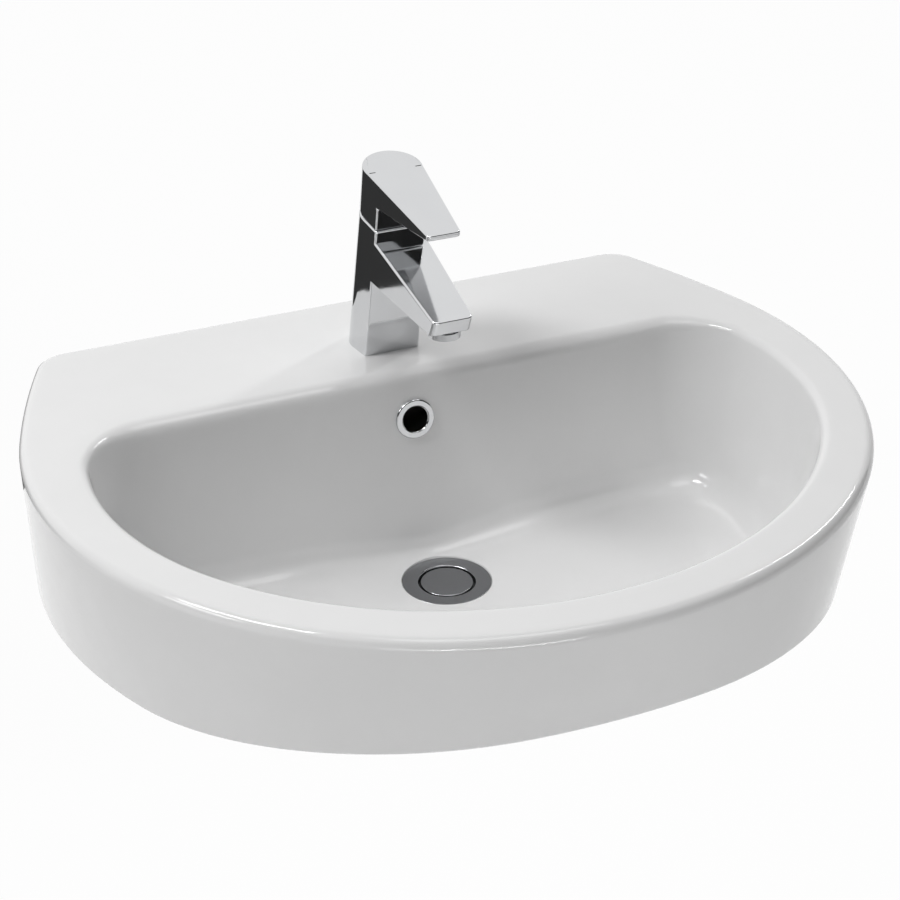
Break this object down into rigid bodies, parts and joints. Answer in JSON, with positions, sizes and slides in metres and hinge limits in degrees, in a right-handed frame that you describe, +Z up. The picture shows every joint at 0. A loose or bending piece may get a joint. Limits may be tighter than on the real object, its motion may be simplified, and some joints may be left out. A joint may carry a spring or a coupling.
{
  "type": "wall-hung basin",
  "caption": "Wall-hung rounded ceramic basin with a tapering open apron, rear tap deck, overflow, pop-up waste and a leaning single-lever mixer tap.",
  "frame": {"origin": "midway between the two wall-fixing holes, on the wall face", "axes": "+X right when facing the basin, -Y out of the wall to the user, +Z up"},
  "size_m": [0.6, 0.497, 0.3879],
  "materials": {
    "glaze": "glossy white glaze",
    "ring": "polished",
    "waste": "polished",
    "tap": "polished",
    "lever": "polished",
    "cap": "polished",
    "rubber": "moulded",
    "steel": "zinc plated",
    "brass": "turned",
    "nylon": "moulded",
    "cartridge": "moulded",
    "carrier": "moulded",
    "outlet": "moulded",
    "screwcap": "moulded"
  },
  "bodies": {
    "fixed": {"basin": "glaze", "overflow_ring": "ring", "waste_body": "waste", "waste_upper_seal": "rubber", "waste_lower_seal": "rubber", "waste_slip_washer": "nylon", "waste_nut": "brass", "plug_latch": "nylon", "tap_body": "tap", "base_gasket": "rubber", "fixing_stud": "steel", "horseshoe_gasket": "rubber", "horseshoe_washer": "steel", "fixing_nut": "brass", "cartridge_body": "cartridge", "cartridge_seals": "rubber", "clamp_ring": "brass", "cartridge_shroud": "tap", "aerator_housing": "tap", "aerator_insert": "outlet", "wall_bushes": "nylon"},
    "carrier": {"cartridge_carrier": "carrier", "pivot_pin": "steel"},
    "handle": {"lever_stem": "steel", "lever": "lever", "lever_screw": "steel", "lever_screw_cap": "screwcap"},
    "plug": {"plug_stem": "steel", "plug_seal": "rubber", "plug_cap": "cap"}
  },
  "joints": [
    {"name": "swivel", "type": "hinge", "parent": "fixed", "child": "carrier", "pos_m": [0, -0.0795, 0.095], "axis": [0, -0.1857, 0.9826], "range_deg": [-45, 45]},
    {"name": "lift", "type": "hinge", "parent": "carrier", "child": "handle", "pos_m": [0, -0.09955, 0.20112], "axis": [-1, 0, 0], "range_deg": [0, 18]},
    {"name": "plug_lift", "type": "slide", "parent": "fixed", "child": "plug", "axis": [0, 0, 1], "range_m": [0, 0.008]}
  ]
}
